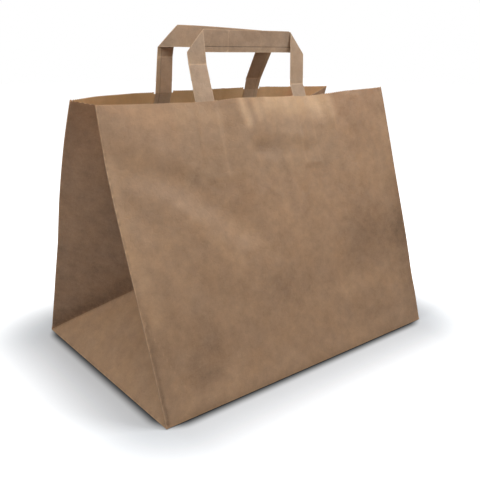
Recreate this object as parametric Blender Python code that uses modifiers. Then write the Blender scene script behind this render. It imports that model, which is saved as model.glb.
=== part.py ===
# A brown kraft paper carrier bag: gusseted walls on a block bottom, and two flat folded-tape handles
# glued inside the mouth under paper patches. The bag stands open, with its panels leaning together.
# Each sheet starts as a flat grid in paper measure, is cut along its creases and is then folded.

import math
from collections import namedtuple

import bmesh
import bpy
from mathutils import Vector

# Bag, in metres: x runs along the wide panels, y from front to back and z up from the ground
WIDTH = 0.320
DEPTH = 0.220
HEIGHT = 0.250
WALL = 0.0003
GLUE_GAP = 0.0003

# Mouth: how far each panel's top edge stands from the middle, at shares of the half width
FRONT_MOUTH = ((-1.0, 0.0232), (-0.70, 0.0212), (-0.42, 0.0196), (-0.17, 0.0257), (0.10, 0.0245),
               (0.42, 0.0235), (0.66, 0.0340), (1.0, 0.0385))
BACK_MOUTH = ((-1.0, 0.0225), (-0.82, 0.0309), (-0.56, 0.0361), (-0.20, 0.0390), (0.20, 0.0416),
              (0.60, 0.0411), (1.0, 0.0388))

# Bow of each standing edge away from the straight lean, plus outwards, left edge then right edge
FRONT_BOW = (-0.0050, 0.0010)
BACK_BOW = (0.0060, 0.0015)
BOW_RISE = 2.0
GUSSET_BULGE = 0.0080
FOLD_EASE = 0.0006
CREASE_DENT = 0.0015
CREASE_REACH = 0.040

# Seam of the paper tube, on the back panel
SEAM_EDGE = 0.100
SEAM_LAP = 0.020
STEP_WIDTH = 0.0004

# Block bottom: plies under the two wide flaps, which lie flat on the ground, and along the groove
# where the outer flap's edge laps over the inner one, a little past the middle
FLAP_PLIES = 3
GROOVE_PLIES = 2
FLAP_OVERLAP = 0.015

# Handle tape
TAPE_WIDTH = 0.019
TAPE = 0.0005
TAPE_PLIES = 3
TAPE_LAP = 0.0048
FOLD_GAP = 0.0003
HANDLE_SPAN = 0.110
GLUED_LENGTH = 0.066

# Notch in the mouth round each handle leg
NOTCH_DEPTH = 0.0025
NOTCH_MARGIN = 0.0023

# Patch over the glued tape ends
PATCH_WIDTH = 0.180
PATCH_HEIGHT = 0.067
PATCH_DROP = 0.004
PATCH_RAMP = 0.004
PATCH_MARGIN = 0.001

# Grid pitch of the flat sheets
PITCH = 0.0157
FOLD_STEPS = 4
TOUCH = 0.000001

FRONT = -1
BACK = 1
LEFT = -1
RIGHT = 1

# Middle of each handle along x
FRONT_CENTRE = -0.0020
BACK_CENTRE = -0.0065

# Each handle leg: from the mouth up to its crease, and from there to the top of the bar
FRONT_LEFT_LOWER = 0.0319
FRONT_LEFT_UPPER = 0.0296
FRONT_RIGHT_LOWER = 0.0123
FRONT_RIGHT_UPPER = 0.0473
BACK_LEFT_LOWER = 0.0297
BACK_LEFT_UPPER = 0.0294
BACK_RIGHT_LOWER = 0.0102
BACK_RIGHT_UPPER = 0.0485

# The lean of each stretch towards the middle of the bag, its sway along x and its turn about z
Leg = namedtuple("Leg", "lower lower_lean lower_sway crease_turn upper upper_lean upper_sway top_turn")
HANDLE_CENTRE = {FRONT: FRONT_CENTRE, BACK: BACK_CENTRE}
LEGS = {
    (FRONT, LEFT): Leg(FRONT_LEFT_LOWER, 19.2, 0.0, -1.2, FRONT_LEFT_UPPER, 6.8, -1.0, -2.7),
    (FRONT, RIGHT): Leg(FRONT_RIGHT_LOWER, 22.6, 2.3, 5.1, FRONT_RIGHT_UPPER, 2.2, 0.4, 2.9),
    (BACK, LEFT): Leg(BACK_LEFT_LOWER, 4.6, 1.0, 8.0, BACK_LEFT_UPPER, 18.4, -1.6, 4.3),
    (BACK, RIGHT): Leg(BACK_RIGHT_LOWER, 5.7, -7.0, -2.6, BACK_RIGHT_UPPER, 29.0, -1.3, -4.9),
}

KRAFT = (0.330, 0.200, 0.122)
TAPE_KRAFT = (0.380, 0.250, 0.165)

half_width = WIDTH / 2 - WALL
half_depth = DEPTH / 2 - WALL
floor_level = FLAP_PLIES * WALL
mouth_level = HEIGHT - NOTCH_DEPTH
fold_radius = TAPE + FOLD_GAP / 2


def clear_scene():
    for obj in list(bpy.data.objects):
        bpy.data.objects.remove(obj, do_unlink=True)


def blend(start, end, share):
    return start + (end - start) * share


def smooth_profile(points, share):
    """Height of a smooth curve through (place, height) points, flat at neither end."""
    last = len(points) - 1
    i = 0
    while i < last - 1 and share > points[i + 1][0]:
        i += 1
    (x1, y1), (x2, y2) = points[i], points[i + 1]
    x0, y0 = points[i - 1] if i > 0 else (2 * x1 - x2, 2 * y1 - y2)
    x3, y3 = points[i + 2] if i + 2 <= last else (2 * x2 - x1, 2 * y2 - y1)
    start_slope = (y2 - y0) / (x2 - x0)
    end_slope = (y3 - y1) / (x3 - x1)
    span = x2 - x1
    t = (share - x1) / span
    return ((2 * t**3 - 3 * t**2 + 1) * y1 + (t**3 - 2 * t**2 + t) * span * start_slope
            + (3 * t**2 - 2 * t**3) * y2 + (t**3 - t**2) * span * end_slope)


def mouth_distance(side, x):
    points = FRONT_MOUTH if side == FRONT else BACK_MOUTH
    return smooth_profile(points, x / half_width)


def panel_bow(side, x, v):
    """How far a wide panel stands out from its straight lean."""
    left, right = FRONT_BOW if side == FRONT else BACK_BOW
    towards_left = (1 - x / half_width) / 2
    towards_right = 1 - towards_left
    most = left * towards_left**2 + right * towards_right**2
    swell = most * math.sin(math.pi * (v / HEIGHT) ** BOW_RISE)
    if side == BACK:
        swell -= CREASE_DENT * max(0.0, 1 - abs(v - half_depth) / CREASE_REACH)
    return swell


def curved_panel_point(side, x, v):
    """Inner face of the front or back panel as a smooth surface, x along it and v up the paper."""
    run = half_depth - mouth_distance(side, x)
    rise = math.sqrt(HEIGHT**2 - run**2)
    share = v / HEIGHT
    outward = Vector((0, side * rise, run)) / HEIGHT
    foot = Vector((x, side * (half_depth - run * share), floor_level + rise * share))
    return foot + outward * panel_bow(side, x, v)


def even_lines(start, end, count):
    return [blend(start, end, i / count) for i in range(count + 1)]


def wall_rows():
    """Heights of a wall's row lines: one of them is where the gusset creases meet."""
    below = even_lines(0, half_depth, round(half_depth / PITCH))
    above = even_lines(half_depth, HEIGHT, round((HEIGHT - half_depth) / PITCH))
    return below + above[1:]


def wall_columns(half_across):
    """Places of a wall's column lines: one of them is its middle."""
    return even_lines(-half_across, half_across, 2 * round(half_across / PITCH))


def bracket(place, lines):
    """The two lines round a place, and its share of the way between them."""
    i = 0
    while i < len(lines) - 2 and place > lines[i + 1]:
        i += 1
    return lines[i], lines[i + 1], (place - lines[i]) / (lines[i + 1] - lines[i])


def panel_point(side, x, v):
    """Inner face of the front or back panel, flat between its column and row lines."""
    left, right, x_share = bracket(x, wall_columns(half_width))
    lower, upper, v_share = bracket(v, wall_rows())
    bottom = blend(curved_panel_point(side, left, lower), curved_panel_point(side, right, lower), x_share)
    top = blend(curved_panel_point(side, left, upper), curved_panel_point(side, right, upper), x_share)
    return blend(bottom, top, v_share)


def inside_point(side, x, v, offset):
    """A point offset into the bag from the inner face of a wide panel."""
    nudge = 0.001
    along = panel_point(side, x + nudge, v) - panel_point(side, x - nudge, v)
    up = panel_point(side, x, v + nudge) - panel_point(side, x, v - nudge)
    normal = along.cross(up).normalized()
    if normal.y * side > 0:
        normal.negate()
    return panel_point(side, x, v) + normal * offset


def gusset_frame(end):
    """Slope of the gusset's lower triangle, and the bottom and top of its centre crease."""
    x = end * half_width
    mouth = (mouth_distance(FRONT, x) + mouth_distance(BACK, x)) / 2
    lean_sine = (half_depth - mouth) / HEIGHT
    lean_cosine = math.sqrt(1 - lean_sine**2)
    slope_sine = (1 - lean_sine) / lean_cosine
    slope = Vector((-end * math.sqrt(1 - slope_sine**2), 0, slope_sine))
    apex = Vector((x, 0, floor_level)) + slope * half_depth
    corner = Vector((x, 0, floor_level + lean_cosine * HEIGHT))
    reach = math.sqrt(half_depth**2 - mouth**2)
    crease = HEIGHT - half_depth
    to_apex = apex - corner
    distance = to_apex.length
    along = (reach**2 - crease**2 + distance**2) / (2 * distance)
    across = math.sqrt(reach**2 - along**2)
    direction = to_apex / distance
    inward = Vector((-end * abs(direction.z), 0, abs(direction.x)))
    top = corner + direction * along + inward * across
    return slope, apex, top


def gusset_point(end, y, v):
    """Inner face of a gusset, y across the paper from its middle and v up it."""
    slope, apex, top = gusset_frame(end)
    foot = Vector((end * half_width, y, floor_level))
    side = FRONT if y <= 0 else BACK
    from_edge = half_depth - abs(y)
    if v - from_edge < TOUCH:
        return foot + slope * v
    edge = panel_point(side, end * half_width, v)
    eased = inside_point(side, end * half_width, v, FOLD_EASE)
    if from_edge < FOLD_EASE:
        return blend(edge, eased, from_edge / FOLD_EASE)
    share = (from_edge - FOLD_EASE) / (min(v, half_depth) - FOLD_EASE)
    if v <= half_depth:
        crease = Vector((end * half_width, side * (half_depth - v), floor_level)) + slope * v
        return blend(eased, crease, share)
    climb = (v - half_depth) / (HEIGHT - half_depth)
    crease = blend(apex, top, climb)
    outward = (crease - eased).cross(top - apex).normalized()
    if outward.y * side > 0:
        outward.negate()
    bulge = GUSSET_BULGE * math.sin(math.pi * share) * math.sin(math.pi * climb)
    return blend(eased, crease, share) + outward * bulge


def split(sheet, faces, point, normal):
    """Cut faces of a sheet along a straight line, given as a plane."""
    edges = {edge for face in faces for edge in face.edges}
    verts = {vert for face in faces for vert in face.verts}
    bmesh.ops.bisect_plane(sheet, geom=list(verts) + list(edges) + list(faces), dist=TOUCH / 10,
                           plane_co=point, plane_no=normal)


def flat_sheet(columns, rows, across, up):
    """A flat grid from the origin to (across, up), in the XY plane."""
    sheet = bmesh.new()
    bmesh.ops.create_grid(sheet, x_segments=columns, y_segments=rows, size=0.5)
    for vert in sheet.verts:
        vert.co = Vector(((vert.co.x + 0.5) * across, (vert.co.y + 0.5) * up, 0))
    return sheet


def wall_sheet(half_across):
    """A flat wall on its column and row lines."""
    columns = wall_columns(half_across)
    rows = wall_rows()
    sheet = flat_sheet(len(columns) - 1, len(rows) - 1, 2 * half_across, len(rows) - 1)
    for vert in sheet.verts:
        vert.co.x -= half_across
        vert.co.y = rows[round(vert.co.y)]
    return sheet


def cut_notch(sheet, centre):
    """Take a shallow notch out of the top edge of a flat wall."""
    reach = TAPE_WIDTH / 2 + NOTCH_MARGIN
    for place in (centre - reach, centre + reach):
        top_row = [face for face in sheet.faces if face.calc_center_median().y > HEIGHT - PITCH]
        split(sheet, top_row, (place, 0, 0), (1, 0, 0))
    between = [face for face in sheet.faces
               if face.calc_center_median().y > HEIGHT - PITCH
               and abs(face.calc_center_median().x - centre) < reach]
    split(sheet, between, (0, mouth_level, 0), (0, 1, 0))
    waste = [face for face in sheet.faces
             if face.calc_center_median().y > mouth_level
             and abs(face.calc_center_median().x - centre) < reach]
    bmesh.ops.delete(sheet, geom=waste, context="FACES")


def leg_x(side, end):
    return HANDLE_CENTRE[side] + end * HANDLE_SPAN / 2


def panel_sheet(side):
    """Front or back wall, folded into place."""
    sheet = wall_sheet(half_width)
    plies = sheet.verts.layers.float.new("plies")
    for end in (LEFT, RIGHT):
        cut_notch(sheet, leg_x(side, end))
    for vert in sheet.verts:
        vert[plies] = 1
        vert.co = panel_point(side, vert.co.x, vert.co.y)
    return sheet


def gusset_sheet(end):
    """Side wall with its two slanting creases and its centre crease."""
    sheet = wall_sheet(half_depth)
    plies = sheet.verts.layers.float.new("plies")
    for side in (FRONT, BACK):
        split(sheet, sheet.faces, (side * (half_depth - FOLD_EASE), 0, 0), (1, 0, 0))
        below = [face for face in sheet.faces if face.calc_center_median().y < half_depth]
        split(sheet, below, (side * half_depth, 0, 0), (1, side, 0))
    for vert in sheet.verts:
        vert[plies] = 1
        vert.co = gusset_point(end, vert.co.x, vert.co.y)
    return sheet


def bottom_sheet():
    columns = len(wall_columns(half_width)) - 1
    rows = len(wall_columns(half_depth)) - 1
    sheet = flat_sheet(columns, rows, 2 * half_width, 2 * half_depth)
    plies = sheet.verts.layers.float.new("plies")
    bmesh.ops.translate(sheet, verts=sheet.verts, vec=(-half_width, -half_depth, floor_level))
    for side in (FRONT, BACK):
        split(sheet, sheet.faces, (0, side * (half_depth - FOLD_EASE), 0), (0, 1, 0))
    for vert in sheet.verts:
        vert[plies] = 1
    return sheet


def bottom_faces(sheet):
    return [face for face in sheet.faces
            if all(abs(vert.co.z - floor_level) < TOUCH for vert in face.verts)]


def fold_bottom_flaps(sheet):
    """Cut the outlines of the flaps under the bottom and give each area its plies."""
    plies = sheet.verts.layers.float["plies"]
    for end in (LEFT, RIGHT):
        split(sheet, bottom_faces(sheet), (end * (half_width - FOLD_EASE), 0, 0), (1, 0, 0))
    for step in (-STEP_WIDTH, 0, STEP_WIDTH):
        split(sheet, bottom_faces(sheet), (0, FLAP_OVERLAP + step, 0), (0, 1, 0))
    for step in (0, STEP_WIDTH):
        for end in (LEFT, RIGHT):
            for side in (FRONT, BACK):
                corner = (end * (half_width + step), side * half_depth, 0)
                split(sheet, bottom_faces(sheet), corner, (end, -side, 0))
    for vert in {vert for face in bottom_faces(sheet) for vert in face.verts}:
        from_end = half_width - abs(vert.co.x) + STEP_WIDTH / 2
        from_side = half_depth - abs(vert.co.y)
        if min(from_end, from_side) < FOLD_EASE / 2:
            continue
        if from_end > from_side:
            in_groove = abs(vert.co.y - FLAP_OVERLAP) < STEP_WIDTH / 2
            vert[plies] = GROOVE_PLIES if in_groove else FLAP_PLIES


def lap_seam(sheet):
    """Double the paper in a band up the back panel, where the tube is glued together."""
    plies = sheet.verts.layers.float["plies"]
    for place in (SEAM_EDGE, SEAM_EDGE + SEAM_LAP):
        for step in (0, STEP_WIDTH):
            sheet.normal_update()
            back_panel = [face for face in sheet.faces if face.normal.y > 0.8]
            split(sheet, back_panel, (place + step, 0, 0), (1, 0, 0))
    for vert in sheet.verts:
        lapped = SEAM_EDGE + STEP_WIDTH / 2 < vert.co.x < SEAM_EDGE + SEAM_LAP + STEP_WIDTH / 2
        if lapped and vert.co.y > 0 and vert.co.z > floor_level + TOUCH:
            vert[plies] = 2


def add_sheet(target, sheet):
    """Move a sheet's faces into another sheet, with its plies."""
    mesh = bpy.data.meshes.new("sheet")
    sheet.to_mesh(mesh)
    sheet.free()
    target.from_mesh(mesh)
    bpy.data.meshes.remove(mesh)


def new_object(name, sheet, colour, thickness, most_plies, collection):
    """Turn a sheet into a solid object: its faces look away from the paper that Solidify adds."""
    plies = sheet.verts.layers.float["plies"]
    weights = sheet.verts.layers.deform.verify()
    for vert in sheet.verts:
        vert[weights][0] = vert[plies] / most_plies
    mesh = bpy.data.meshes.new(name)
    sheet.to_mesh(mesh)
    sheet.free()
    obj = bpy.data.objects.new(name, mesh)
    obj.vertex_groups.new(name="plies")
    collection.objects.link(obj)
    mesh.materials.append(paper_material(name, colour))
    solid = obj.modifiers.new("paper", "SOLIDIFY")
    solid.thickness = thickness
    solid.offset = 1
    solid.use_even_offset = True
    solid.vertex_group = "plies"
    return obj


def paper_material(name, colour):
    material = bpy.data.materials.new(name)
    material.use_nodes = True
    shader = material.node_tree.nodes["Principled BSDF"]
    shader.inputs["Base Color"].default_value = (*colour, 1)
    shader.inputs["Roughness"].default_value = 0.75
    shader.inputs["Metallic"].default_value = 0
    return material


def face_outwards(sheet, centre):
    """Turn a sheet's faces away from a point inside the bag."""
    bmesh.ops.recalc_face_normals(sheet, faces=sheet.faces)
    lowest = min(sheet.faces, key=lambda face: face.calc_center_median().z)
    if lowest.normal.dot(lowest.calc_center_median() - centre) < 0:
        bmesh.ops.reverse_faces(sheet, faces=sheet.faces)


def make_body(collection):
    body = bmesh.new()
    body.verts.layers.float.new("plies")
    for side in (FRONT, BACK):
        add_sheet(body, panel_sheet(side))
    for end in (LEFT, RIGHT):
        add_sheet(body, gusset_sheet(end))
    add_sheet(body, bottom_sheet())
    bmesh.ops.remove_doubles(body, verts=body.verts, dist=TOUCH)
    face_outwards(body, Vector((0, 0, HEIGHT / 2)))
    lap_seam(body)
    fold_bottom_flaps(body)
    return new_object("bag_body", body, KRAFT, FLAP_PLIES * WALL, FLAP_PLIES, collection)


def lean_vector(side, lean, sway):
    """Unit direction up a handle leg, leaning towards the middle of the bag."""
    up = Vector((math.tan(math.radians(sway)), -side * math.tan(math.radians(lean)), 1))
    return up.normalized()


def station(side, centre, turn, up, across, inward):
    """A point beside a handle leg's centre line, across the tape and into the bag."""
    along = Vector((math.cos(math.radians(turn)), math.sin(math.radians(turn)), 0))
    normal = along.cross(up).normalized()
    if normal.y * side > 0:
        normal.negate()
    return centre + along * across + normal * inward


def leg_point(side, end, across, drop, inward):
    """A point on a handle leg, drop below the top of the bar."""
    leg = LEGS[side, end]
    x = leg_x(side, end)
    below_mouth = drop - leg.upper - leg.lower
    if below_mouth >= 0:
        return inside_point(side, x + across, mouth_level - below_mouth, GLUE_GAP + inward)
    lower_up = lean_vector(side, leg.lower_lean, leg.lower_sway)
    upper_up = lean_vector(side, leg.upper_lean, leg.upper_sway)
    mouth_centre = inside_point(side, x, mouth_level, GLUE_GAP)
    crease_centre = mouth_centre + lower_up * leg.lower
    top_centre = crease_centre + upper_up * leg.upper
    crease = station(side, crease_centre, leg.crease_turn, (lower_up + upper_up) / 2, across, inward)
    if drop > leg.upper:
        mouth = inside_point(side, x + across, mouth_level, GLUE_GAP + inward)
        return blend(crease, mouth, (drop - leg.upper) / leg.lower)
    top = station(side, top_centre, leg.top_turn, upper_up, across, inward)
    return blend(top, crease, drop / leg.upper)


def handle_point(side, across, drop, inward):
    """A point of the handle, from its flat front view: across from its middle and down from its top."""
    end = RIGHT if across > 0 else LEFT
    inner_edge = HANDLE_SPAN / 2 - TAPE_WIDTH / 2
    if abs(across) >= inner_edge:
        return leg_point(side, end, across - end * HANDLE_SPAN / 2, drop, inward)
    left = leg_point(side, LEFT, TAPE_WIDTH / 2, drop, inward)
    right = leg_point(side, RIGHT, -TAPE_WIDTH / 2, drop, inward)
    return blend(left, right, (across / inner_edge + 1) / 2)


def fold_tape(s, t):
    """Fold the straight tape over at 45 degrees: s from the middle of the bar, t up across the tape."""
    end = RIGHT if s > 0 else LEFT
    from_corner = Vector((abs(s) - HANDLE_SPAN / 2, t))
    normal = Vector((1, 1)).normalized()
    past = from_corner.dot(normal) + math.pi * fold_radius / 2
    foot = from_corner - normal * past
    angle = past / fold_radius
    if angle <= 0:
        place = from_corner
        inward = 2 * fold_radius
    elif angle < math.pi:
        place = foot + normal * fold_radius * math.sin(angle)
        inward = fold_radius * (1 + math.cos(angle))
    else:
        place = foot - normal * (past - math.pi * fold_radius)
        inward = 0
    across = end * (HANDLE_SPAN / 2 + place.x)
    drop = TAPE_WIDTH / 2 - place.y
    return across, drop, inward


def tape_place(drop):
    """Place along the straight tape, from the middle of the bar, of a point on a leg."""
    return HANDLE_SPAN / 2 - TAPE_WIDTH / 2 + drop


def make_handle(name, side, collection):
    glued_end = {end: LEGS[side, end].upper + LEGS[side, end].lower + GLUED_LENGTH for end in (LEFT, RIGHT)}
    left = tape_place(glued_end[LEFT])
    right = tape_place(glued_end[RIGHT])
    tape = flat_sheet(1, 1, left + right, TAPE_WIDTH)
    plies = tape.verts.layers.float.new("plies")
    bmesh.ops.translate(tape, verts=tape.verts, vec=(-left, -TAPE_WIDTH / 2, 0))
    for end in (LEFT, RIGHT):
        leg = LEGS[side, end]
        mouth = leg.upper + leg.lower
        drops = [0, TAPE_WIDTH, leg.upper, mouth]
        drops += [mouth + mouth_level - row for row in wall_rows()
                  if mouth_level - GLUED_LENGTH + PITCH / 4 < row < mouth_level]
        for drop in drops:
            split(tape, tape.faces, (end * tape_place(drop), 0, 0), (1, 0, 0))
        for step in range(FOLD_STEPS + 1):
            past = fold_radius * math.pi * (step / FOLD_STEPS - 0.5)
            line = (end * (HANDLE_SPAN / 2 + past * math.sqrt(2)), 0, 0)
            split(tape, tape.faces, line, (end, 1, 0))
        for column in wall_columns(half_width):
            t = -end * (column - leg_x(side, end))
            if abs(t) < TAPE_WIDTH / 2:
                on_leg = [face for face in tape.faces
                          if end * face.calc_center_median().x > tape_place(leg.upper)]
                split(tape, on_leg, (0, t, 0), (0, 1, 0))
    for place in (TAPE_LAP, TAPE_LAP + STEP_WIDTH / 2):
        split(tape, tape.faces, (0, place - TAPE_WIDTH / 2, 0), (0, 1, 0))
    for vert in tape.verts:
        lapped = vert.co.y > TAPE_LAP + STEP_WIDTH / 4 - TAPE_WIDTH / 2
        vert[plies] = TAPE_PLIES if lapped else TAPE_PLIES - 1
        vert.co = handle_point(side, *fold_tape(vert.co.x, vert.co.y))
    if side == BACK:
        bmesh.ops.reverse_faces(tape, faces=tape.faces)
    tape.normal_update()
    return new_object(name, tape, TAPE_KRAFT, TAPE, TAPE_PLIES, collection)


def patch_offset(side, x):
    """How far the patch stands off the panel: it climbs over the two tape ends."""
    over_tape = GLUE_GAP + TAPE + GLUE_GAP
    beside = min(abs(x - leg_x(side, end)) for end in (LEFT, RIGHT)) - TAPE_WIDTH / 2 - PATCH_MARGIN
    climb = min(max(1 - beside / PATCH_RAMP, 0), 1)
    return blend(GLUE_GAP, over_tape, climb)


def make_patch(name, side, collection):
    patch = flat_sheet(1, 1, PATCH_WIDTH, PATCH_HEIGHT)
    plies = patch.verts.layers.float.new("plies")
    corner = Vector((HANDLE_CENTRE[side] - PATCH_WIDTH / 2, HEIGHT - PATCH_DROP - PATCH_HEIGHT, 0))
    bmesh.ops.translate(patch, verts=patch.verts, vec=corner)
    for column in wall_columns(half_width):
        split(patch, patch.faces, (column, 0, 0), (1, 0, 0))
    for row in wall_rows():
        split(patch, patch.faces, (0, row, 0), (0, 1, 0))
    for end in (LEFT, RIGHT):
        for reach in (TAPE_WIDTH / 2 + PATCH_MARGIN, TAPE_WIDTH / 2 + PATCH_MARGIN + PATCH_RAMP):
            for edge in (-reach, reach):
                split(patch, patch.faces, (leg_x(side, end) + edge, 0, 0), (1, 0, 0))
    for vert in patch.verts:
        vert[plies] = 1
        vert.co = inside_point(side, vert.co.x, vert.co.y, patch_offset(side, vert.co.x))
    if side == FRONT:
        bmesh.ops.reverse_faces(patch, faces=patch.faces)
    patch.normal_update()
    return new_object(name, patch, KRAFT, WALL, 1, collection)


def main():
    clear_scene()
    collection = bpy.data.collections.new("paper_carrier_bag")
    bpy.context.scene.collection.children.link(collection)
    make_body(collection)
    for label, side in (("front", FRONT), ("back", BACK)):
        make_handle(label + "_handle", side, collection)
        make_patch(label + "_handle_patch", side, collection)


main()
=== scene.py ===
# The looks of a brown kraft paper carrier bag that stands open: one gusseted sheet on a block bottom,
# with flat folded-tape handles glued inside its mouth under paper patches.
# Each sheet starts flat in paper measure, is cut along its creases and is then folded into place.

import math
from collections import namedtuple
from contextlib import contextmanager

import bmesh
import bpy
import numpy as np
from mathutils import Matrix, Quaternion, Vector


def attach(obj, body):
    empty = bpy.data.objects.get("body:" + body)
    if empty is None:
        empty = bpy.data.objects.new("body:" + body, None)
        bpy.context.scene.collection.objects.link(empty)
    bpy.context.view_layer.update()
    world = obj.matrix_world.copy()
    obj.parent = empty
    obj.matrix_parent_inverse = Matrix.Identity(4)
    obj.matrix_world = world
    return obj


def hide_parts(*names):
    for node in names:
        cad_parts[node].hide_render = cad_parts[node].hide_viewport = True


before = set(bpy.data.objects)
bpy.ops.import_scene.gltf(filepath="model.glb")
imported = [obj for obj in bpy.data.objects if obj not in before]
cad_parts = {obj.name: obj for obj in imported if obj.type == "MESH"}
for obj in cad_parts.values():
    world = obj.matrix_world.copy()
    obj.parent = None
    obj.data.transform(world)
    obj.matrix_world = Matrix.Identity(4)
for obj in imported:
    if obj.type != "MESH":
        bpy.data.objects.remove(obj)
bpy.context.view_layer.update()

# Bag, in metres: x runs along the wide panels, y from front to back and z up from the ground
WIDTH = 0.320
DEPTH = 0.220
HEIGHT = 0.250
WALL = 0.0003
GLUE_GAP = 0.0003

FRONT = -1
BACK = 1
LEFT = -1
RIGHT = 1
SIDES = (FRONT, BACK)
ENDS = (LEFT, RIGHT)

# Mouth: how far each panel's top edge stands from the middle, at shares of the half width
FRONT_MOUTH = ((-1.0, 0.0230), (-0.70, 0.0212), (-0.51, 0.0198), (-0.41, 0.0195), (-0.30, 0.0206),
               (-0.17, 0.0257), (0.10, 0.0247), (0.27, 0.0249), (0.39, 0.0232), (0.53, 0.0283),
               (0.68, 0.0350), (1.0, 0.0385))
BACK_MOUTH = ((-1.0, 0.0225), (-0.82, 0.0300), (-0.58, 0.0355), (-0.45, 0.0361), (-0.33, 0.0384),
              (-0.20, 0.0391), (0.20, 0.0416), (0.60, 0.0411), (1.0, 0.0388))

# Bow of each standing edge away from the straight lean, plus outwards, left edge then right edge
FRONT_BOW = (-0.0050, 0.0010)
BACK_BOW = (0.0060, 0.0015)
BOW_RISE = 2.0

# The wavy mouth draws the right end in, from this height over this run, and the walls settle a little
END_PULL = 0.0032
PULL_START = 0.080
PULL_RUN = 0.110
SETTLE = 0.0011

# The stretched corners that stand a little higher: left end, then right end
CORNER_LIFT = {FRONT: (0.0, 0.0020), BACK: (0.0015, 0.0)}

# Bulge of a gusset, the paper that a fold takes up, and the dent beside the height of the slanting creases
GUSSET_BULGE = 0.0080
FOLD_EASE = 0.0006
CREASE_DENT = 0.0015
CREASE_REACH = 0.040

# Seam of the paper tube, on the back panel, and the narrow slope at the edge of a glued layer
SEAM_EDGE = 0.100
SEAM_LAP = 0.020
STEP_WIDTH = 0.0004

# A face whose normal's y is over this is on the back panel
FACING_BACK = 0.8

# Block bottom: plies at the flaps and in the groove at the outer flap's edge, and how far past the middle
# of the bottom that edge lies
FLAP_PLIES = 3
GROOVE_PLIES = 2
FLAP_OVERLAP = 0.015

# Handle tape: its width, thickness and lap, the gap inside its 45 degree folds, its span and its grid
TAPE_WIDTH = 0.019
TAPE = 0.0005
TAPE_PLIES = 3
TAPE_LAP = 0.0048
FOLD_GAP = 0.0003
HANDLE_SPAN = 0.110
GLUED_LENGTH = 0.066
FOLD_STEPS = 8
TAPE_PITCH = 0.0020
TAPE_ROWS = 8
CREASE_EASE = 0.0007

# Start of the glued stretch below the mouth, and depth of the teeth of the saw-cut mouth
GLUE_DROP = 0.0025
TOOTH_DEPTH = 0.0011

# Patch over the glued tape ends
PATCH_WIDTH = 0.180
PATCH_LOW = 0.179
PATCH_RAMP = 0.004
PATCH_MARGIN = 0.001

# Grid pitch of the flat sheets: across the panels, across the gussets and up the paper
ACROSS_PITCH = 0.00215
SIDE_PITCH = 0.0040
UP_PITCH = 0.0027

# Nearer than this is the same place, and a slope is read between points this far to either side
TOUCH = 0.000001
PROBE = 0.0015
AVOID_ZERO = 1e-12

# Middle of each handle along the panel
HANDLE_CENTRE = {FRONT: -0.0020, BACK: -0.0065}

# Depth of the notch in the mouth round a handle leg, and its margin beside the tape
NOTCH = {FRONT: (0.0006, 0.0004), BACK: (0.0025, 0.0016)}

# Top of the glued patch below the mouth
PATCH_DROP = {FRONT: 0.004, BACK: 0.014}

# How far the 45 degree fold at the top of each leg has sprung open, in degrees
FOLD_OPENING = {(FRONT, LEFT): 12, (FRONT, RIGHT): 12, (BACK, LEFT): 28, (BACK, RIGHT): 36}

# Places of worn cross creases along the bar, from its middle
BAR_CREASES = {FRONT: (-0.019,), BACK: ()}

# A handle leg: its length from the mouth up to the crease and from there to the top of the bar, each with
# its lean towards the middle of the bag, its sway along x and the turn about z at its end, in degrees
Leg = namedtuple("Leg", "lower lower_lean lower_sway crease_turn upper upper_lean upper_sway top_turn")
LEGS = {
    (FRONT, LEFT): Leg(0.0340, 17.3, -0.6, 0.9, 0.0293, 6.5, -2.9, -3.2),
    (FRONT, RIGHT): Leg(0.0144, 23.9, 2.7, 6.0, 0.0479, 6.5, 4.5, 7.1),
    (BACK, LEFT): Leg(0.0325, 4.0, 2.0, 11.7, 0.0285, 16.8, -2.5, 5.8),
    (BACK, RIGHT): Leg(0.0116, 18.2, -1.3, -3.2, 0.0523, 30.3, -0.1, -13.7),
}

# The three kinds of stroke below are in millimetres
PER_METRE = 1000

# Soft swells and hollows of a panel: (x, up the paper) points, half width and height outwards
SWELLS = {
    FRONT: (
        ((-165, 200), (-113, 191), (-85, 173), (-66, 154), (-45, 134), 21, -2.2),
        ((-158, 176), (-144, 155), (-130, 132), 16, -1.2),
        ((-120, 172), (-92, 152), (-72, 130), 18, 1),
        ((-125, 120), (-105, 94), (-75, 76), 22, -1.3),
        ((-48, 108), (-36, 96), 26, 1.9),
        ((-30, 60), (45, 70), (105, 70), (165, 50), 24, -2.2),
        ((85, 125), (135, 125), 34, 1.5),
        ((-12, 204), (22, 202), (55, 196), 14, -1.3),
        ((-105, 40), (-40, 36), (10, 40), 20, -1),
        ((-125, 52), (-134, 30), 13, -0.9),
        ((100, 222), (104, 180), 13, -0.9),
        ((-158, 235), (-158, 60), 9, -1.1),
    ),
    BACK: (
        ((-120, 200), (-50, 165), (20, 150), 26, -1.6),
        ((-60, 110), (30, 95), (110, 110), 30, 1.4),
        ((60, 185), (120, 150), 22, -1.2),
        ((-130, 70), (-60, 50), 24, -1.2),
    ),
}

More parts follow.
